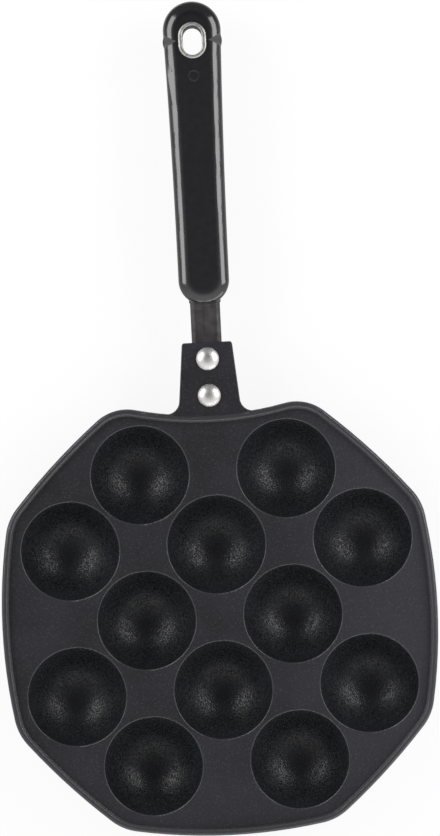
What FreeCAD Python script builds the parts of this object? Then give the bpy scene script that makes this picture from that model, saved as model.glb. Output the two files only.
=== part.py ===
import FreeCAD, Part
import itertools
import math
import os

# Stove-top takoyaki pan: one casting with twelve half-round cups and a lug, a riveted steel
# strap, a moulded grip with a metal eyelet in its hanging hole, and the screw that holds the grip.
# Millimetres. +Y runs along the handle, away from the pan, and +Z is up. Shapes are drawn with
# the cup pattern's middle at x = y = 0. Last of all they move along Y, so that the origin lies
# under the middle of the whole object. The cups' feet stand on z = 0.

V = FreeCAD.Vector
ACROSS = V(1, 0, 0)
ALONG = V(0, 1, 0)
UP = V(0, 0, 1)

# ---- Cups: each is part of a sphere. Rows of two and of three take turns ----
cup_sphere_radius = 22.25
cup_depth = 20.5
cup_edge_round = 0.7
cup_wall = 2.6
cup_foot_radius = 7.5
cup_foot_proud = 0.5
cup_pitch_across = 66.3
cup_row_spacing = 33.0

# ---- Plate, lip and skirt. Each side of the plate is a shallow arc ----
pan_width = 197.2
pan_side_bow_radius = 244.0
pan_width_over_diagonals = 204.6
pan_diagonal_bow_radius = 300.0
pan_corner_radius = 24.0
handle_side_reach = 91.6
handle_side_hollow_radius = 152.0
handle_side_crest_radius = 20.0
plate_thickness = 3.0
lip_width = 2.5
lip_height = 2.5
lip_outer_round = 1.5
lip_inner_round = 0.6
lip_root_round = 0.9
lip_straight = 2.0
skirt_depth = 13.0
skirt_draft = math.radians(1.0)
skirt_wall = 2.6
skirt_inner_round = 1.5

# ---- Lug, cast with the plate ----
lug_length = 33.1
lug_end_width = 22.6
lug_taper = math.radians(5.2)
lug_thickness = 6.0
lug_below_lip = 1.5
lug_side_draft = math.radians(1.0)
lug_end_corner_radius = 1.2
lug_root_radius = 6.0
lug_root_sink = 0.05
lug_top_round = 0.5

# ---- Rivets: domed head on the lug, flat tail in the strap ----
rivet_shank_radius = 2.5
rivet_hole_clearance = 0.05
rivet_head_radius = 5.15
rivet_head_height = 2.7
rivet_head_rim = 0.35
rivet_tail_radius = 4.0
rivet_tail_height = 1.6
rivet_tail_round = 0.6
rivet_from_lug_end = 7.5
rivet_spacing = 16.6

# ---- Strap: a channel that is open below. It rises slightly from the lug's end ----
strap_width = 13.6
strap_height = 6.5
strap_thickness = 1.8
strap_bend_radius = 2.4
strap_end_gap = 1.5
strap_bare_length = 16.6
strap_tang_length = 60.0
handle_rise = math.radians(1.5)
handle_rise_radius = 30.0

# ---- Collar: a plug around and inside the strap. Its front is bowed towards the pan ----
collar_wall = 0.35
collar_length = 1.9
collar_bow_radius = 17.5
collar_front_round = 0.6
collar_foot_radius = 1.0
collar_clearance = 0.05

# ---- Grip: a long round. Its faces roll over into its sides in a wide crown and a tighter round ----
grip_length = 136.1
grip_width_near = 23.0
grip_cap_radius = 13.1
grip_flare_length = 110.0
grip_thickness = 16.0
grip_crown_radius = 8.6
grip_crown_tilt = math.radians(45.0)
grip_side_round = 2.7
grip_near_crest = 1.0
grip_near_trim = 1.2
tang_clearance = 0.15
tang_end_clearance = 1.0
groove_apex_from_axis = 7.2
groove_half_angle = math.radians(26.0)
groove_fall = math.radians(25.0)
cheek_proud = 0.35
cheek_radius = 8.0
mark_radius = 2.55
mark_line = 0.55
mark_depth = 0.3
mark_from_eyelet = 16.2

# ---- Eyelet: a barrel through the grip, a flange on top and a rolled rim below ----
eyelet_from_grip_end = 17.9
eyelet_hole_width = 8.7
eyelet_hole_length = 13.3
eyelet_wall = 0.7
eyelet_clearance = 0.05
flange_width = 12.7
flange_length = 16.5
flange_height = 1.2
flange_round = 0.8
eyelet_mouth_round = 0.45
rolled_rim_width = 11.9
rolled_rim_length = 16.2
rolled_rim_height = 0.9
rolled_rim_round = 0.5

# ---- Grip screw: driven from below into the strap's tang ----
screw_from_grip_start = 24.0
screw_radius = 2.0
screw_thread_clearance = 0.05
screw_clearance = 0.2
screw_head_radius = 3.8
screw_head_height = 2.6
screw_head_round = 1.2
screw_head_clearance = 0.3
screw_head_recess = 0.5
screw_past_strap = 0.8
screw_tip_clearance = 0.4
screw_cross_width = 0.9
screw_cross_length = 4.0
screw_cross_depth = 1.3

overrun = 2.0  # how far a cutting tool runs past the face that it opens

# ---- Heights and places that follow from the sizes above ----
plate_top = cup_foot_proud + cup_wall + cup_depth
plate_under = plate_top - plate_thickness
lip_top = plate_top + lip_height
lip_straight_end = lip_top - lip_straight
skirt_bottom = lip_top - skirt_depth
cup_centre = plate_top - cup_depth + cup_sphere_radius
lug_end_reach = handle_side_reach + lug_length
lug_top = lip_top - lug_below_lip
lug_under = lug_top - lug_thickness
rivet_places = [lug_end_reach - rivet_from_lug_end - step * rivet_spacing for step in (0, 1)]

# The handle's own frame starts where the strap's rise ends, on the strap's top face:
# Y runs along the handle and Z stands square to it.
rise_run = handle_rise_radius * math.sin(handle_rise)
rise_height = handle_rise_radius * (1 - math.cos(handle_rise))
handle_frame = FreeCAD.Placement(
    V(0, lug_end_reach + rise_run, lug_under + rise_height),
    FreeCAD.Rotation(ACROSS, math.degrees(handle_rise)))
collar_front = strap_bare_length - rise_run
grip_start = collar_front + collar_length
grip_end = grip_start + grip_length
grip_middle_z = -strap_height / 2
grip_top = grip_middle_z + grip_thickness / 2
grip_under = grip_middle_z - grip_thickness / 2
tang_end = grip_start + strap_tang_length
eyelet_y = grip_end - eyelet_from_grip_end
screw_y = grip_start + screw_from_grip_start


# ---- Drawing helpers ----

def closed_wire(start, *steps):
    """Wire that runs from start and closes. A step is a point, or (middle, end) of an arc."""
    edges = []
    here = start
    for step in (*steps, start):
        if isinstance(step, tuple):
            edges.append(Part.Arc(here, *step).toShape())
            here = step[1]
        elif here.distanceToPoint(step) > 1e-7:
            edges.append(Part.LineSegment(here, step).toShape())
            here = step
    return Part.Wire(edges)


def mirrored(point):
    return V(-point.x, point.y, point.z)


def symmetric_wire(start, *steps):
    """Closed wire with these steps on its right side and their mirror image on its left."""
    back = []
    here = start
    for step in steps:
        if isinstance(step, tuple):
            back.append((mirrored(step[0]), mirrored(here)))
            here = step[1]
        else:
            back.append(mirrored(here))
            here = step
    return closed_wire(start, *steps, mirrored(here), *reversed(back))


def prism(wire, along):
    return Part.Face(wire).extrude(along)


def turned(wire, place):
    """Solid of revolution about the upright line through place."""
    solid = Part.Face(wire).revolve(V(), UP, 360)
    solid.translate(place)
    return solid


def corner_round(corner, to_before, to_after, radius):
    """Wire steps of the arc that rounds a corner between two unit directions."""
    half = to_before.getAngle(to_after) / 2
    inward = (to_before + to_after).normalize()
    centre = corner + inward * (radius / math.sin(half))
    run = radius / math.tan(half)
    return corner + to_before * run, (centre - inward * radius, corner + to_after * run)


def edges_at(shape, height):
    """Edges that lie flat at one height."""
    return [edge for edge in shape.Edges
            if abs(edge.BoundBox.ZMin - height) < 1e-4 and abs(edge.BoundBox.ZMax - height) < 1e-4]


def face_at(shape, height):
    return next(face for face in shape.Faces
                if abs(face.BoundBox.ZMin - height) < 1e-4 and abs(face.BoundBox.ZMax - height) < 1e-4)


def long_round(width, length, low, high):
    """Prism whose outline is two half circles joined by straight sides, long along Y."""
    half = width / 2
    end = length / 2 - half
    wire = closed_wire(
        V(half, -end, low), V(half, end, low),
        (V(0, end + half, low), V(-half, end, low)),
        V(-half, -end, low), (V(0, -end - half, low), V(half, -end, low)))
    return prism(wire, V(0, 0, high - low))


# ---- Casting ----

def cup_places():
    for row in (-2, -1, 0, 1, 2):
        columns = (-1, 0, 1) if row % 2 else (-0.5, 0.5)
        for column in columns:
            yield V(column * cup_pitch_across, row * cup_row_spacing, 0)


def cup_shell():
    """Outside of a cup, filled: a ball that starts inside the plate and ends in a flat foot."""
    radius = cup_sphere_radius + cup_wall
    start = plate_top - plate_thickness / 2
    start_radius = math.sqrt(radius ** 2 - (cup_centre - start) ** 2)
    foot_meets = cup_centre - math.sqrt(radius ** 2 - cup_foot_radius ** 2)
    turn = (math.asin(start_radius / radius) + math.asin(cup_foot_radius / radius)) / 2
    middle = V(radius * math.sin(turn), 0, cup_centre - radius * math.cos(turn))
    return closed_wire(
        V(), V(cup_foot_radius, 0, 0), V(cup_foot_radius, 0, foot_meets),
        (middle, V(start_radius, 0, start)), V(0, 0, start))


def cup_hollow():
    """Inside of a cup, with the rounding that leads into it from the plate."""
    radius = cup_sphere_radius
    centre = V(0, 0, cup_centre)
    round_height = plate_top - cup_edge_round
    round_x = math.sqrt((radius + cup_edge_round) ** 2 - (cup_centre - round_height) ** 2)
    round_centre = V(round_x, 0, round_height)
    towards = (round_centre - centre).normalize()
    meet = centre + towards * radius
    round_middle = round_centre + ((UP - towards).normalize() * cup_edge_round)
    half_turn = math.acos(-towards.z) / 2
    bowl_middle = centre + V(math.sin(half_turn), 0, -math.cos(half_turn)) * radius
    return closed_wire(
        centre - UP * radius, (bowl_middle, meet), (round_middle, V(round_x, 0, plate_top)),
        V(round_x, 0, plate_top + overrun), V(0, 0, plate_top + overrun))


def pan_prism(grow, low, high):
    """Prism over the pan's outline, which is grown by a given amount all round."""

    def disc(radius, x, y):
        return Part.makeCylinder(radius, high - low, V(x, y, low))

    side = pan_side_bow_radius - pan_width / 2
    slant = (pan_diagonal_bow_radius - pan_width_over_diagonals / 2) / math.sqrt(2)
    shape = disc(pan_side_bow_radius + grow, 0, side)
    for x in (-side, side):
        shape = shape.common(disc(pan_side_bow_radius + grow, x, 0))
    for x, y in itertools.product((-slant, slant), repeat=2):
        shape = shape.common(disc(pan_diagonal_bow_radius + grow, x, y))
    hollow_y = handle_side_reach + handle_side_hollow_radius
    shape = shape.cut(disc(handle_side_hollow_radius - grow, 0, hollow_y))

    def upright_edges(solid):
        edges = [edge for edge in solid.Edges if edge.BoundBox.ZLength > (high - low) / 2]
        return sorted(edges, key=lambda edge: edge.BoundBox.YMin)

    shape = shape.makeFillet(pan_corner_radius + grow, upright_edges(shape)[:-2])
    return shape.makeFillet(handle_side_crest_radius + grow, upright_edges(shape)[-2:])


def pan_outline(grow, height):
    return face_at(pan_prism(grow, height, height + overrun), height).OuterWire


def lug_outline(grow, height):
    """Lug seen from above, from inside the lip to its end. The fillets at its root end a little inside it."""
    towards_pan = V(math.sin(lug_taper), -math.cos(lug_taper), 0)
    outward = V(math.cos(lug_taper), math.sin(lug_taper), 0)
    corner = V(lug_end_width / 2 + grow, lug_end_reach, height)
    end_round = corner_round(corner, -ACROSS, towards_pan, lug_end_corner_radius)
    hollow = V(0, handle_side_reach + handle_side_hollow_radius, height)
    sunk_radius = handle_side_hollow_radius + lug_root_sink
    reach = sunk_radius - lug_root_radius
    offset = corner + outward * lug_root_radius - hollow
    along = offset.dot(towards_pan)
    run = math.sqrt(along ** 2 - offset.dot(offset) + reach ** 2) - along
    root_centre = hollow + offset + towards_pan * run
    on_side = root_centre - outward * lug_root_radius
    on_pan = hollow + (root_centre - hollow) * (sunk_radius / reach)
    bulge = ((on_side - root_centre) + (on_pan - root_centre)).normalize()
    on_bend = root_centre + bulge * lug_root_radius
    inside = V(on_pan.x, handle_side_reach - lip_width / 2, height)
    return symmetric_wire(*end_round, on_side, (on_bend, on_pan), inside)


def make_lug():
    draft = lug_thickness * math.tan(lug_side_draft)
    lug = Part.makeLoft([lug_outline(draft, lug_under), lug_outline(0, lug_top)], True, True)
    outer = [edge for edge in edges_at(lug, lug_top)
             if edge.BoundBox.YMax > handle_side_reach + lug_root_radius]
    return lug.makeFillet(lug_top_round, outer)


def make_casting():
    upper = pan_prism(0, lip_straight_end, lip_top)
    upper = upper.makeFillet(lip_outer_round, edges_at(upper, lip_top))
    flare = (lip_straight_end - skirt_bottom) * math.tan(skirt_draft)
    lower = Part.makeLoft(
        [pan_outline(flare, skirt_bottom), pan_outline(0, lip_straight_end)], True, True)
    tray = pan_prism(-lip_width, plate_top, lip_top + overrun)
    tray = tray.makeFillet(lip_root_round, edges_at(tray, plate_top))
    body = upper.fuse(lower).cut(tray)
    ring = face_at(body, lip_top)
    inner_edges = [edge for wire in ring.Wires if not wire.isSame(ring.OuterWire)
                   for edge in wire.Edges]
    # the two rounds of the lip leave a narrow flat between them
    inner_round = min(lip_inner_round, 0.95 * (lip_width - lip_outer_round))
    body = body.makeFillet(inner_round, inner_edges)
    cavity = pan_prism(-skirt_wall, skirt_bottom - overrun, plate_under)
    cavity = cavity.makeFillet(skirt_inner_round, edges_at(cavity, plate_under))
    body = body.cut(cavity)
    shells = [turned(cup_shell(), place) for place in cup_places()]
    body = body.fuse(shells + [make_lug()])
    hollows = [turned(cup_hollow(), place) for place in cup_places()]
    hole_radius = rivet_shank_radius + rivet_hole_clearance
    holes = [Part.makeCylinder(hole_radius, lug_thickness + 2 * overrun, V(0, y, lug_under - overrun))
             for y in rivet_places]
    return body.cut(hollows + holes).removeSplitter()


# ---- Rivets and strap ----

def make_rivet(y):
    clamped = lug_thickness + strap_thickness
    dome = rivet_head_height - rivet_head_rim
    dome_radius = (rivet_head_radius ** 2 + dome ** 2) / (2 * dome)
    half_turn = math.asin(rivet_head_radius / dome_radius) / 2
    dome_middle = V(dome_radius * math.sin(half_turn), 0,
                    rivet_head_height - dome_radius * (1 - math.cos(half_turn)))
    tail_end = -clamped - rivet_tail_height
    tail_round = corner_round(V(rivet_tail_radius, 0, tail_end), -ACROSS, UP, rivet_tail_round)
    wire = closed_wire(
        V(0, 0, tail_end), *tail_round, V(rivet_tail_radius, 0, -clamped),
        V(rivet_shank_radius, 0, -clamped), V(rivet_shank_radius, 0, 0),
        V(rivet_head_radius, 0, 0), V(rivet_head_radius, 0, rivet_head_rim),
        (dome_middle, V(0, 0, rivet_head_height)))
    return turned(wire, V(0, y, lug_top))


def channel_face(grow):
    """Strap's section, thickened by a clearance all round, with its top face at z = 0."""
    side = strap_width / 2 + grow
    foot = -strap_height - grow
    inner = strap_width / 2 - strap_thickness - grow
    outer_bend = strap_bend_radius + grow
    inner_bend = strap_bend_radius - strap_thickness - grow
    top = corner_round(V(side, 0, grow), -ACROSS, -UP, outer_bend)
    under = corner_round(V(inner, 0, -strap_thickness - grow), -UP, -ACROSS, inner_bend)
    return Part.Face(symmetric_wire(*top, V(side, 0, foot), V(inner, 0, foot), *under))


def channel(grow, start, end):
    face = channel_face(grow)
    face.translate(V(0, start, 0))
    return face.extrude(ALONG * (end - start))


def make_strap():
    strap_start = handle_side_reach + strap_end_gap
    flat = channel(0, strap_start, lug_end_reach)
    flat.translate(UP * lug_under)
    bend_face = channel_face(0)
    bend_face.translate(V(0, lug_end_reach, lug_under))
    bend = bend_face.revolve(
        V(0, lug_end_reach, lug_under + handle_rise_radius), ACROSS, math.degrees(handle_rise))
    tang = channel(0, 0, tang_end)
    thread_radius = screw_radius + screw_thread_clearance
    tang = tang.cut(Part.makeCylinder(
        thread_radius, strap_thickness + 2 * overrun, V(0, screw_y, -strap_thickness - overrun)))
    tang.Placement = handle_frame
    hole_radius = rivet_shank_radius + rivet_hole_clearance
    holes = [Part.makeCylinder(
        hole_radius, strap_thickness + 2 * overrun, V(0, y, lug_under - strap_thickness - overrun))
        for y in rivet_places]
    return flat.fuse([bend, tang]).cut(holes).removeSplitter()


# ---- Grip and what is on it: drawn in the handle's frame ----

def grip_prism(grow, low, high):
    """Prism over the grip's outline: straight sides that flare outwards and end in a round cap.

    The near end is nearly a half round. It reaches past the flat face that the block is trimmed to.
    """
    near = grip_width_near / 2 + grow
    cap = grip_cap_radius + grow
    cap_y = grip_end - grip_cap_radius
    flare_start = cap_y - grip_flare_length
    flare_radius = (near ** 2 + grip_flare_length ** 2 - cap ** 2) / (2 * (cap - near))
    flare_centre = V(near + flare_radius, flare_start, low)
    cap_centre = V(0, cap_y, low)
    towards = (flare_centre - cap_centre).normalize()
    meet = cap_centre + towards * cap
    half_turn = math.asin(grip_flare_length / (flare_radius + cap)) / 2
    flare_middle = flare_centre + V(-math.cos(half_turn), math.sin(half_turn), 0) * flare_radius
    near_end = V(near, grip_start - grip_near_trim - grow, low)
    corner = corner_round(near_end, -ACROSS, ALONG, near - grip_near_crest / 2)
    cap_middle = cap_centre + (towards + ALONG).normalize() * cap
    wire = symmetric_wire(*corner, V(near, flare_start, low), (flare_middle, meet),
                          (cap_middle, cap_centre + ALONG * cap))
    return prism(wire, UP * (high - low))


def grip_block():
    """Grip without its holes. Its faces are crowned towards their edges, and its near end is trimmed flat."""
    crown_grow = (grip_crown_radius - grip_side_round) * (1 - math.sin(grip_crown_tilt))
    reach = grip_thickness + overrun
    upper = grip_prism(crown_grow, grip_top - reach, grip_top)
    upper = upper.makeFillet(grip_crown_radius, edges_at(upper, grip_top))
    lower = grip_prism(crown_grow, grip_under, grip_under + reach)
    lower = lower.makeFillet(grip_crown_radius, edges_at(lower, grip_under))
    block = grip_prism(0, grip_under, grip_top).common(upper).common(lower)
    creases = [edge for edge in block.Edges
               if edge.BoundBox.ZLength < 1e-4 and grip_under + 1 < edge.BoundBox.ZMin < grip_top - 1]
    block = block.makeFillet(grip_side_round, creases)
    room = grip_width_near + 2 * overrun
    before = V(-room / 2, grip_start - room, grip_under - overrun)
    return block.cut(Part.makeBox(room, room, grip_thickness + 2 * overrun, before))


def make_grip():
    cheek_x = grip_cap_radius + cheek_proud - cheek_radius
    cheek = Part.makeSphere(cheek_radius, V(cheek_x, eyelet_y, grip_middle_z))
    grip = grip_block().fuse([cheek, cheek.mirror(V(), ACROSS)])
    cuts = [channel(tang_clearance, grip_start - overrun, tang_end + tang_end_clearance)]
    barrel_grow = 2 * (eyelet_wall + eyelet_clearance)
    eyelet_hole = long_round(eyelet_hole_width + barrel_grow, eyelet_hole_length + barrel_grow,
                             grip_under - overrun, grip_top + overrun)
    eyelet_hole.translate(ALONG * eyelet_y)
    cuts.append(eyelet_hole)
    groove_length = (grip_cap_radius + overrun - groove_apex_from_axis) / math.cos(groove_fall)
    groove_mouth = groove_length * math.tan(groove_half_angle)
    for side, (height, fall) in itertools.product((-1, 1), ((grip_top, -1), (grip_under, 1))):
        outward = V(side * math.cos(groove_fall), 0, fall * math.sin(groove_fall))
        cuts.append(Part.makeCone(0, groove_mouth, groove_length,
                                  V(side * groove_apex_from_axis, eyelet_y, height), outward))
    mark_place = V(0, eyelet_y - mark_from_eyelet, grip_top - mark_depth)
    mark = Part.makeCylinder(mark_radius, mark_depth + overrun, mark_place)
    cuts.append(mark.cut(Part.makeCylinder(mark_radius - mark_line, mark_depth + overrun, mark_place)))
    seat = grip_under + screw_head_recess + screw_head_height
    cuts.append(Part.makeCylinder(
        screw_head_radius + screw_head_clearance, seat - grip_under + overrun,
        V(0, screw_y, grip_under - overrun)))
    cuts.append(Part.makeCylinder(
        screw_radius + screw_clearance, screw_past_strap + screw_tip_clearance - seat,
        V(0, screw_y, seat)))
    return grip.cut(cuts).removeSplitter()


def make_collar():
    """Plug that fills and surrounds the strap. Its back lies against the grip's near end."""
    grow = collar_clearance + collar_wall
    side = strap_width / 2 + grow
    foot = -strap_height - grow
    top = corner_round(V(side, collar_front, grow), -ACROSS, -UP, strap_bend_radius + grow)
    bottom = corner_round(V(side, collar_front, foot), UP, -ACROSS, collar_foot_radius)
    back = grip_start + grip_width_near / 2
    plug = prism(symmetric_wire(*top, *bottom), ALONG * (back - collar_front))
    bow_centre = V(0, collar_front + collar_bow_radius, foot - overrun)
    bow = Part.makeCylinder(collar_bow_radius, grow - foot + 2 * overrun, bow_centre)
    passage = channel(collar_clearance, collar_front - overrun, back + overrun)
    plug = plug.common(bow)
    front_edges = [edge for face in plug.Faces if isinstance(face.Surface, Part.Cylinder)
                   and abs(face.Surface.Radius - collar_bow_radius) < 1e-4 for edge in face.Edges]
    return plug.makeFillet(collar_front_round, front_edges).cut([grip_block(), passage])


def make_eyelet():
    barrel_grow = 2 * eyelet_wall
    flange_top = grip_top + flange_height
    rim_under = grip_under - rolled_rim_height
    flange = long_round(flange_width, flange_length, grip_top, flange_top)
    flange = flange.makeFillet(flange_round, edges_at(flange, flange_top))
    barrel = long_round(eyelet_hole_width + barrel_grow, eyelet_hole_length + barrel_grow,
                        grip_under, grip_top)
    rim = long_round(rolled_rim_width, rolled_rim_length, rim_under, grip_under)
    rim = rim.makeFillet(rolled_rim_round, edges_at(rim, rim_under))
    hole = long_round(eyelet_hole_width, eyelet_hole_length, rim_under - overrun, flange_top + overrun)
    eyelet = flange.fuse([barrel, rim]).removeSplitter().cut(hole)
    mouths = [edge for height in (flange_top, rim_under) for edge in edges_at(eyelet, height)
              if edge.BoundBox.XMax < eyelet_hole_width / 2 + 1e-4
              and edge.BoundBox.XMin > -eyelet_hole_width / 2 - 1e-4]
    eyelet = eyelet.makeFillet(eyelet_mouth_round, mouths)
    eyelet.translate(ALONG * eyelet_y)
    return eyelet


def make_screw():
    head_end = grip_under + screw_head_recess
    seat = head_end + screw_head_height
    head_round = corner_round(V(screw_head_radius, 0, head_end), -ACROSS, UP, screw_head_round)
    wire = closed_wire(
        V(0, 0, head_end), *head_round, V(screw_head_radius, 0, seat),
        V(screw_radius, 0, seat), V(screw_radius, 0, screw_past_strap), V(0, 0, screw_past_strap))
    screw = turned(wire, ALONG * screw_y)
    slot = Part.makeBox(screw_cross_length, screw_cross_width, screw_cross_depth + overrun,
                        V(-screw_cross_length / 2, screw_y - screw_cross_width / 2, head_end - overrun))
    cross = slot.copy()
    cross.rotate(V(0, screw_y, 0), UP, 90)
    return screw.cut([slot, cross])


def on_handle(shape):
    shape.Placement = handle_frame.multiply(shape.Placement)
    return shape


def make_pieces():
    grip_side_rivet, pan_side_rivet = rivet_places
    return {
        "pan_casting": make_casting(),
        "handle_strap": make_strap(),
        "rivet_pan_side": make_rivet(pan_side_rivet),
        "rivet_grip_side": make_rivet(grip_side_rivet),
        "neck_collar": on_handle(make_collar()),
        "grip": on_handle(make_grip()),
        "hanging_eyelet": on_handle(make_eyelet()),
        "grip_screw": on_handle(make_screw()),
    }


pieces = make_pieces()
boxes = [piece.optimalBoundingBox() for piece in pieces.values()]
middle = (min(box.YMin for box in boxes) + max(box.YMax for box in boxes)) / 2
os.makedirs("parts", exist_ok=True)
for name, piece in pieces.items():
    piece.translate(ALONG * -middle)
    piece.exportStep("parts/" + name + ".step")
    box = piece.optimalBoundingBox()
    print("%-16s solids %d valid %s volume %.1f mm3  x %.2f %.2f  y %.2f %.2f  z %.2f %.2f" % (
        name, len(piece.Solids), piece.isValid(), piece.Volume,
        box.XMin, box.XMax, box.YMin, box.YMax, box.ZMin, box.ZMax))
print("cup pattern's middle is at y = %.3f mm" % -middle)
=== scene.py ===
import functools
import math

import bpy
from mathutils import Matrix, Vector

# Takoyaki pan lying face up on a white floor, between softboxes. Metres, in the pan's own frame.

MM = 0.001

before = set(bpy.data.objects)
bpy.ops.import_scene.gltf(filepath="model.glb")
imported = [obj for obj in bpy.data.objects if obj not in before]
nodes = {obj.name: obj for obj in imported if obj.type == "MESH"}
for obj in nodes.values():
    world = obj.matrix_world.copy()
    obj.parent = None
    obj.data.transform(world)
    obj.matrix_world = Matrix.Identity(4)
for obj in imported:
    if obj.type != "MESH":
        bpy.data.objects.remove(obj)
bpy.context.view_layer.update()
plate_top = 23.6 * MM  # height of the plate between the cups
pan_middle = Vector((0, -90, 20)) * MM
mark_y = 154.9 * MM  # middle of the ring mark on the grip
mark_radius = 2.28 * MM

NOISE = "ShaderNodeTexNoise"
CELLS = "ShaderNodeTexVoronoi"
RAMP = "ShaderNodeValToRGB"
RANGE = "ShaderNodeMapRange"
MIX = "ShaderNodeMix"
MATH = "ShaderNodeMath"
VECTOR_MATH = "ShaderNodeVectorMath"
SPLIT = "ShaderNodeSeparateXYZ"
GEOMETRY = "ShaderNodeNewGeometry"
BUMP = "ShaderNodeBump"

COLOURS = {"data_type": "RGBA"}
ADD = {"operation": "ADD"}
SUBTRACT = {"operation": "SUBTRACT"}
MULTIPLY = {"operation": "MULTIPLY"}
MULTIPLY_ADD = {"operation": "MULTIPLY_ADD"}
POWER = {"operation": "POWER"}
ABSOLUTE = {"operation": "ABSOLUTE"}
LARGER = {"operation": "MAXIMUM"}
DOT = {"operation": "DOT_PRODUCT"}


def srgb(hex_colour):
    """Linear RGBA of an sRGB colour such as '#1b1c1e'."""
    channels = [int(hex_colour[i:i + 2], 16) / 255 for i in (1, 3, 5)]
    return (*[c / 12.92 if c <= 0.04045 else ((c + 0.055) / 1.055) ** 2.4 for c in channels], 1)


def grey(level):
    return (level, level, level, 1)


def per_metre(millimetres):
    """Pattern scale whose features are about this far apart."""
    return 1 / (millimetres * MM)


def set_inputs(node, inputs):
    """Set inputs by name, or by number where names repeat.

    An input gets a value, another node's output, or a node, which stands for its first output in use.
    """
    for key, value in inputs.items():
        if isinstance(key, int):
            socket = node.inputs[key]
        else:
            socket = next(s for s in node.inputs if s.enabled and s.name == key)
        if isinstance(value, bpy.types.Node):
            value = next(output for output in value.outputs if output.enabled)
        if isinstance(value, bpy.types.NodeSocket):
            node.id_data.links.new(value, socket)
        else:
            socket.default_value = value


def add_node(tree, kind, inputs=None, settings=None, stops=()):
    """Add a node with its own settings, a colour ramp's (position, colour) stops, and its inputs."""
    node = tree.nodes.new(kind)
    for name, value in (settings or {}).items():
        setattr(node, name, value)
    if stops:
        for element, (position, colour) in zip(node.color_ramp.elements, stops):
            element.position = position
            element.color = colour
    set_inputs(node, inputs or {})
    return node


def surface(name):
    """New material, what adds nodes to it, its Principled shader, and object coordinates for patterns."""
    material = bpy.data.materials.new(name)
    material.use_nodes = True
    add = functools.partial(add_node, material.node_tree)
    place = add("ShaderNodeTexCoord").outputs["Object"]
    return material, add, material.node_tree.nodes["Principled BSDF"], place


# ---- Finishes ----

def sharp_edges(add, width):
    """1 on rounds and creases narrower than this width, 0 on broad faces.

    A bevel of the same width turns the face there, and the share follows the angle.
    """
    first_seen, full = math.radians(14), math.radians(36)
    bevelled = add("ShaderNodeBevel", {"Radius": width}, {"samples": 6})
    likeness = add(VECTOR_MATH, {0: bevelled, 1: add(GEOMETRY).outputs["Normal"]}, DOT).outputs["Value"]
    return add(RANGE, {"Value": likeness, "From Min": math.cos(first_seen), "From Max": math.cos(full)})


def rubbed_edges_and_painted_highlights(add, place):
    """Where wiping and stacking rub the coating thin, as shares from 0 to 1.

    The first share is for every edge: the lip's crest, its inner side, the cups' rims and other sharp
    rounds; it thins the coating, and it paints the edges paler, partly as wear and partly as painted
    highlight lines. The second is for the lip's inner side alone, which is painted lighter still, as a
    painted highlight.
    """
    # Heights from the plate's top in mm, where a share starts and where it is full, and its most.
    bands = {"lip_crest": (1.4, 2.1, 0.5), "inner_side_foot": (0.2, 0.6, 1.0),
             "inner_side_top": (2.5, 2.25, 1.0), "cup_rim_foot": (-0.75, -0.55, 1.0),
             "cup_rim_top": (-0.01, -0.06, 0.5)}
    steepest, fully_upward = 0.1, 0.3  # upward part of a face's normal
    level, fully_inward = -4 * MM, -30 * MM  # that normal along the way out from the pan's middle
    height = add(SPLIT, {"Vector": place}).outputs["Z"]
    shares = {name: add(RANGE, {"Value": height, "From Min": plate_top + start * MM,
                                "From Max": plate_top + full * MM, "To Max": most})
              for name, (start, full, most) in bands.items()}
    facing = add(GEOMETRY).outputs["Normal"]
    upward = add(RANGE, {"Value": add(SPLIT, {"Vector": facing}).outputs["Z"], "From Min": steepest,
                         "From Max": fully_upward})
    outward = add(VECTOR_MATH, {0: place, 1: pan_middle}, SUBTRACT)
    lean = add(VECTOR_MATH, {0: outward, 1: facing}, DOT).outputs["Value"]
    inward = add(RANGE, {"Value": lean, "From Min": level, "From Max": fully_inward})
    above_foot = add(MATH, {0: inward, 1: shares["inner_side_foot"]}, MULTIPLY)
    lip_inside = add(MATH, {0: above_foot, 1: shares["inner_side_top"]}, MULTIPLY)
    lip = add(MATH, {0: shares["lip_crest"], 1: lip_inside}, LARGER)
    cup_rim = add(MATH, {0: shares["cup_rim_foot"], 1: shares["cup_rim_top"]}, MULTIPLY)
    crests = add(MATH, {0: add(MATH, {0: lip, 1: cup_rim}, LARGER), 1: upward}, MULTIPLY)
    edge = add(MATH, {0: crests, 1: sharp_edges(add, 0.8 * MM)}, LARGER)
    return edge, add(MATH, {0: lip_inside, 1: upward}, MULTIPLY)


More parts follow.
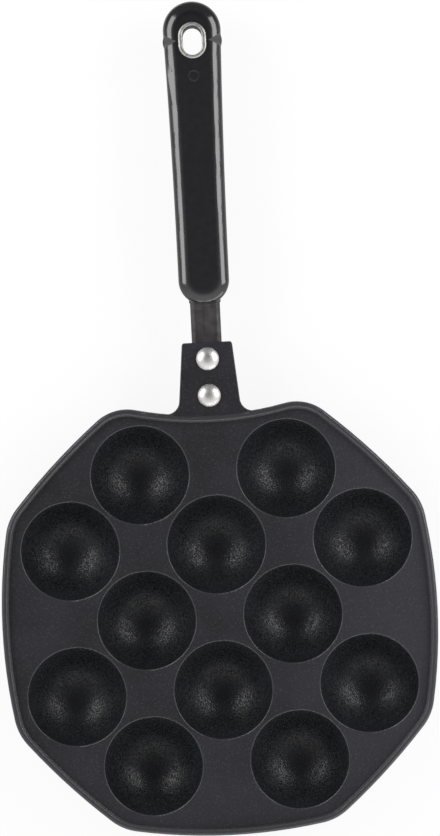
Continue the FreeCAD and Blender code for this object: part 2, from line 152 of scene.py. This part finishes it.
def sprayed_nonstick():
    """PTFE non-stick coating, sprayed on cast aluminium.

    Violet black and nearly matt. The dried spray is a fine orange peel, and each bead in the cups has a
    gloss of its own, so that highlights break into sparkles. Both are about 0.2 mm across. They are
    drawn coarser, or they would not show. Paler flecks are strewn in it. The flat plate is coloured
    paler than the cups, and it is painted paler still on the right and at the end away from the handle,
    as painted light. Rubbed edges are smooth and let some metal through; they are also painted paler,
    partly as wear and partly as painted highlight, so that they show as fine grey lines.
    """
    cloud_size, fleck_size = 22, 1.3  # mm
    grain_size, bead_size = 0.9, 0.55  # mm, both instead of 0.2
    grain_depth = 0.2 * MM
    bare_metal = 0.35  # share of metal on a fully rubbed edge
    ptfe_ior = 1.4
    material, add, shader, place = surface("sprayed_nonstick_coating")
    where = add(SPLIT, {"Vector": place}).outputs
    cloud = add(NOISE, {"Vector": place, "Scale": per_metre(cloud_size), "Detail": 3.0})
    grain = add(NOISE, {"Vector": place, "Scale": per_metre(grain_size), "Detail": 2.0, "Roughness": 0.7})
    fleck = add(CELLS, {"Vector": place, "Scale": per_metre(fleck_size)}).outputs["Distance"]
    bead = add(CELLS, {"Vector": place, "Scale": per_metre(bead_size)}).outputs["Color"]

    # The plate's top, above the cups, is coloured paler than the cups and has a gloss of its own.
    on_plate_face = add(RANGE, {"Value": where["Z"], "From Min": plate_top - 0.9 * MM,
                        "From Max": plate_top - 0.2 * MM})
    # Painted light: the plate is painted paler towards the right and towards the end away from the
    # handle.
    painted_light_right = add(RANGE, {"Value": where["X"], "From Min": 20 * MM, "From Max": 80 * MM,
                               "To Max": 0.72})
    painted_light_far_end = add(RANGE, {"Value": where["Y"], "From Min": -135 * MM, "From Max": -170 * MM,
                             "To Max": 0.35})
    painted_light_share = add(MATH, {0: painted_light_right, 1: painted_light_far_end}, LARGER)
    cup_tone = add(RAMP, {"Fac": cloud}, stops=((0.35, srgb("#18191d")), (0.65, srgb("#1f2024"))))
    plate_tone = add(RAMP, {"Fac": cloud}, stops=((0.35, srgb("#201f23")), (0.65, srgb("#28272c"))))
    plate_tone_with_painted_light = add(MIX, {"Factor": painted_light_share, "A": plate_tone, "B": srgb("#35343a")}, COLOURS)
    tone = add(MIX, {"Factor": on_plate_face, "A": cup_tone, "B": plate_tone_with_painted_light}, COLOURS)
    flecks = add(RAMP, {"Fac": fleck}, stops=((0.1, srgb("#3c3c40")), (0.3, srgb("#000000"))))
    flecked = add(MIX, {"Factor": 0.5, "A": tone, "B": flecks}, {**COLOURS, "blend_type": "ADD"})
    edge, lip_inside = rubbed_edges_and_painted_highlights(add, place)
    # Edges are painted paler, partly as worn coating and partly as painted highlight lines; the lip's
    # inner side is painted lighter still, as a painted highlight.
    worn_and_painted_highlight = add(MIX, {"Factor": lip_inside, "A": srgb("#4a4a4e"), "B": srgb("#6a6a6e")}, COLOURS)
    colour = add(MIX, {"Factor": edge, "A": flecked, "B": worn_and_painted_highlight}, COLOURS)

    bead_gloss = add(RAMP, {"Fac": bead}, stops=((0.25, grey(0.66)), (0.7, grey(0.13))))
    plate_gloss = add(RAMP, {"Fac": grain}, stops=((0.3, grey(0.24)), (0.7, grey(0.42))))
    dry_gloss = add(MIX, {"Factor": on_plate_face, "A": bead_gloss, "B": plate_gloss}, COLOURS)
    gloss = add(MIX, {"Factor": edge, "A": dry_gloss, "B": grey(0.1)}, COLOURS)
    strength = add(RANGE, {"Value": edge, "To Min": 0.9, "To Max": 0.15})
    bump = add(BUMP, {"Strength": strength, "Distance": grain_depth, "Height": grain})
    set_inputs(shader, {"Base Color": colour, "Metallic": add(MATH, {0: edge, 1: bare_metal}, MULTIPLY),
                        "Roughness": gloss, "Normal": bump, "IOR": ptfe_ior})
    return material


def blackened_steel():
    """Mild steel strip, blackened in oil and bent.

    Brownish black and satin, with stains and with streaks along the strip, its edges rubbed lighter.
    """
    streak_size, cloud_size = 1.4, 3  # mm
    streak_stretch = (1, 0.12, 1)
    stain_depth = 0.08 * MM
    oiled_oxide_ior = 1.5
    material, add, shader, place = surface("blackened_steel_strip")
    along = add("ShaderNodeMapping", {"Vector": place, "Scale": streak_stretch})
    streak = add(NOISE, {"Vector": along, "Scale": per_metre(streak_size), "Detail": 3.0})
    cloud = add(NOISE, {"Vector": place, "Scale": per_metre(cloud_size), "Detail": 3.0})
    stain = add(MIX, {"Factor": 0.6, "A": streak, "B": cloud})
    tone = add(RAMP, {"Fac": stain}, stops=((0.4, srgb("#221f20")), (0.6, srgb("#3a3638"))))
    edge = sharp_edges(add, 0.5 * MM)
    colour = add(MIX, {"Factor": edge, "A": tone, "B": srgb("#666064")}, COLOURS)
    gloss = add(RAMP, {"Fac": stain}, stops=((0.35, grey(0.6)), (0.65, grey(0.48))))
    bump = add(BUMP, {"Strength": 0.3, "Distance": stain_depth, "Height": stain})
    set_inputs(shader, {"Base Color": colour, "Roughness": gloss, "Normal": bump,
                        "IOR": oiled_oxide_ior})
    return material


def moulded_phenolic():
    """Phenolic resin, compression moulded.

    Black and glossy, with the faint ripple of its mould and marks of handling. The ring that the mould's
    ejector pin pressed into it is duller, and it is painted greyer, in part as a painted highlight on its
    groove.
    """
    ripple_size, handling_size = 9, 3  # mm
    ripple_depth = 0.1 * MM
    ring_half_width = (0.4 * MM, 0.15 * MM)  # where the ring's dull line starts and where it is full
    grip_top = (15 * MM, 16 * MM)  # heights between which a face counts as the grip's top
    phenolic_ior = 1.65
    material, add, shader, place = surface("moulded_phenolic_grip")
    where = add(SPLIT, {"Vector": place}).outputs
    ripple = add(NOISE, {"Vector": place, "Scale": per_metre(ripple_size), "Detail": 1.0})
    handling = add(NOISE, {"Vector": place, "Scale": per_metre(handling_size), "Detail": 4.0})

    along = add(MATH, {0: where["Y"], 1: mark_y}, SUBTRACT)
    squares = [add(MATH, {0: side, 1: 2.0}, POWER) for side in (where["X"], along)]
    from_middle = add(MATH, {0: add(MATH, {0: squares[0], 1: squares[1]}, ADD), 1: 0.5}, POWER)
    off_ring = add(MATH, {0: add(MATH, {0: from_middle, 1: mark_radius}, SUBTRACT)}, ABSOLUTE)
    near_ring = add(RANGE, {"Value": off_ring, "From Min": ring_half_width[0],
                            "From Max": ring_half_width[1]})
    on_top = add(RANGE, {"Value": where["Z"], "From Min": grip_top[0], "From Max": grip_top[1]})
    ring = add(MATH, {0: near_ring, 1: on_top}, MULTIPLY)

    tone = add(RAMP, {"Fac": handling}, stops=((0.3, srgb("#0b0b0e")), (0.75, srgb("#131317"))))
    # The ejector ring is painted greyer, in part as a painted highlight on its groove.
    colour = add(MIX, {"Factor": ring, "A": tone, "B": srgb("#252529")}, COLOURS)
    moulded_gloss = add(RAMP, {"Fac": handling}, stops=((0.3, grey(0.12)), (0.8, grey(0.17))))
    gloss = add(MIX, {"Factor": ring, "A": moulded_gloss, "B": grey(0.5)}, COLOURS)
    bump = add(BUMP, {"Strength": 0.05, "Distance": ripple_depth, "Height": ripple})
    set_inputs(shader, {"Base Color": colour, "Roughness": gloss, "Normal": bump, "IOR": phenolic_ior})
    return material


def bright_metal(name, colour, roughness, mark_size, painted_shade_colour):
    """Bare metal with the small marks of its forming, seen as changes of gloss. Steep sides are duller.

    The mark size is in mm.
    """
    mark_depth = 0.04 * MM
    added_roughness = 0.12  # where it is marked most
    slanted, steep = 0.5, 0.15  # upward part of a face's normal
    material, add, shader, place = surface(name)
    marks = add(NOISE, {"Vector": place, "Scale": per_metre(mark_size), "Detail": 3.0})
    facing = add(SPLIT, {"Vector": add(GEOMETRY).outputs["Normal"]}).outputs["Z"]
    # Painted shade: steep faces, such as the rivets' rims and the eyelet's bore, take the darker side
    # colour.
    side = add(RANGE, {"Value": facing, "From Min": slanted, "From Max": steep})
    tone = add(RAMP, {"Fac": marks}, stops=((0.3, srgb(colour)), (0.8, srgb("#c9c8c6"))))
    whole_colour = add(MIX, {"Factor": side, "A": tone, "B": srgb(painted_shade_colour)}, COLOURS)
    marked = add(RAMP, {"Fac": marks}, stops=((0.3, grey(roughness)),
                                              (0.75, grey(roughness + added_roughness))))
    gloss = add(MIX, {"Factor": side, "A": marked, "B": grey(0.6)}, COLOURS)
    bump = add(BUMP, {"Strength": 0.15, "Distance": mark_depth, "Height": marks})
    set_inputs(shader, {"Base Color": whole_colour, "Roughness": gloss, "Normal": bump, "Metallic": 1.0})
    return material


def dress(material, *names):
    """Give CAD nodes one finish."""
    for name in names:
        slots = nodes[name].data.materials
        slots.clear()
        slots.append(material)


# ---- Floor and light ----

def pale_floor():
    """Matt white studio floor, faintly worn.

    It is lifted to white for the camera and for what is seen through glass, so that only the shadow is
    grey, and a little for gloss, so that the pan's sides aren't lit too strongly from below.
    """
    patches_per_metre = 3.0
    white_shares = {"Is Camera Ray": 0.88, "Is Transmission Ray": 0.88, "Is Glossy Ray": 0.3}
    material, add, shader, place = surface("matt_white_floor")
    wear = add(NOISE, {"Vector": place, "Scale": patches_per_metre, "Detail": 2.0})
    tone = add(RAMP, {"Fac": wear}, stops=((0.3, srgb("#f3f3f3")), (0.7, srgb("#f7f7f7"))))
    set_inputs(shader, {"Base Color": tone, "Roughness": 0.9, "Specular IOR Level": 0.1})
    rays = add("ShaderNodeLightPath").outputs
    lifted = 0.0
    for ray, share in white_shares.items():
        lifted = add(MATH, {0: rays[ray], 1: share, 2: lifted}, MULTIPLY_ADD)
    white = add("ShaderNodeEmission", {"Color": grey(1), "Strength": 1.0})
    seen = add("ShaderNodeMixShader", {"Fac": lifted, 1: shader, 2: white})
    set_inputs(material.node_tree.nodes["Material Output"], {"Surface": seen})
    return material


def lay_floor():
    size = 3.0  # from the middle to each side
    mesh = bpy.data.meshes.new("floor")
    corners = [(-size, -size, 0), (size, -size, 0), (size, size, 0), (-size, size, 0)]
    mesh.from_pydata(corners, [], [(0, 1, 2, 3)])
    floor = bpy.data.objects.new("floor", mesh)
    mesh.materials.append(pale_floor())
    bpy.context.scene.collection.objects.link(floor)


def light_room():
    """Room with a bright wall before the pan, a dimmer one behind the handle and a dim ceiling.

    The camera sees it plain white.
    """
    room = bpy.data.worlds.new("pale_room")
    bpy.context.scene.world = room
    room.use_nodes = True
    add = functools.partial(add_node, room.node_tree)
    direction = add(SPLIT, {"Vector": add("ShaderNodeTexCoord").outputs["Generated"]}).outputs
    walls = add(RANGE, {"Value": direction["Y"], "From Min": -0.7, "From Max": 0.5, "To Min": 1.3,
                        "To Max": 0.3})
    ceiling = add(RANGE, {"Value": direction["Z"], "From Min": 0.7, "From Max": 0.93, "To Min": 1.0,
                          "To Max": 0.36})
    brightness = add(MATH, {0: walls, 1: ceiling}, MULTIPLY)
    rays = add("ShaderNodeLightPath").outputs
    seen_as_white = add(MATH, {0: rays["Is Camera Ray"], 1: rays["Is Transmission Ray"]}, LARGER)
    strength = add(MIX, {"Factor": seen_as_white, "A": brightness, "B": 1.0})
    set_inputs(room.node_tree.nodes["Background"], {"Color": grey(1), "Strength": strength})


def towards(azimuth, elevation):
    """Unit vector. Azimuth is counted from +X towards +Y, both in degrees."""
    a, e = math.radians(azimuth), math.radians(elevation)
    return Vector((math.cos(a) * math.cos(e), math.sin(a) * math.cos(e), math.sin(e)))


def softbox(name, azimuth, elevation, distance, width, height, brightness):
    """Flat square lamp that faces the middle of the pan."""
    lamp = bpy.data.lights.new(name, "AREA")
    lamp.shape = "RECTANGLE"
    lamp.size = width
    lamp.size_y = height
    lamp.energy = brightness * math.pi * width * height
    light = bpy.data.objects.new(name, lamp)
    light.location = pan_middle + towards(azimuth, elevation) * distance
    light.rotation_mode = "QUATERNION"
    light.rotation_quaternion = (pan_middle - light.location).to_track_quat("-Z", "Y")
    light.visible_camera = False
    bpy.context.scene.collection.objects.link(light)


def set_camera():
    """Camera over the middle, looking straight down, turned so that the handle leans left."""
    distance_to_plate = 1.6
    seen_height = 0.3785
    image_centre = Vector((4.35, -0.16)) * MM
    handle_lean = math.radians(2.762)
    data = bpy.data.cameras.new("camera")
    data.sensor_width = 36
    data.lens = data.sensor_width * distance_to_plate / seen_height
    data.clip_end = 20
    camera = bpy.data.objects.new("camera", data)
    camera.location = (*image_centre, distance_to_plate + plate_top)
    camera.rotation_euler = (0, 0, -handle_lean)
    bpy.context.scene.collection.objects.link(camera)
    bpy.context.scene.camera = camera


dress(sprayed_nonstick(), "pan_casting")
dress(blackened_steel(), "handle_strap", "neck_collar")
# The side colours below are painted shade on steep faces.
dress(bright_metal("pressed_aluminium_rivet", "#c8c7c5", roughness=0.34, mark_size=2.5,
                   painted_shade_colour="#a8a7a5"), "rivet_pan_side", "rivet_grip_side")
dress(bright_metal("nickel_plated_eyelet", "#9c9b98", roughness=0.42, mark_size=2.0,
                   painted_shade_colour="#353433"), "hanging_eyelet")
dress(bright_metal("zinc_plated_screw", "#d8d9da", roughness=0.3, mark_size=2.0,
                   painted_shade_colour="#a8a9aa"), "grip_screw")
dress(moulded_phenolic(), "grip")

lay_floor()
light_room()
softbox("softbox_right", azimuth=26, elevation=30, distance=0.73, width=0.66, height=0.3,
        brightness=5.0)
softbox("softbox_left", azimuth=148, elevation=30, distance=0.73, width=0.66, height=0.3,
        brightness=4.9)
softbox("softbox_front", azimuth=290, elevation=12, distance=0.45, width=0.9, height=0.12,
        brightness=2.2)
set_camera()
bpy.context.scene.view_settings.view_transform = "Standard"
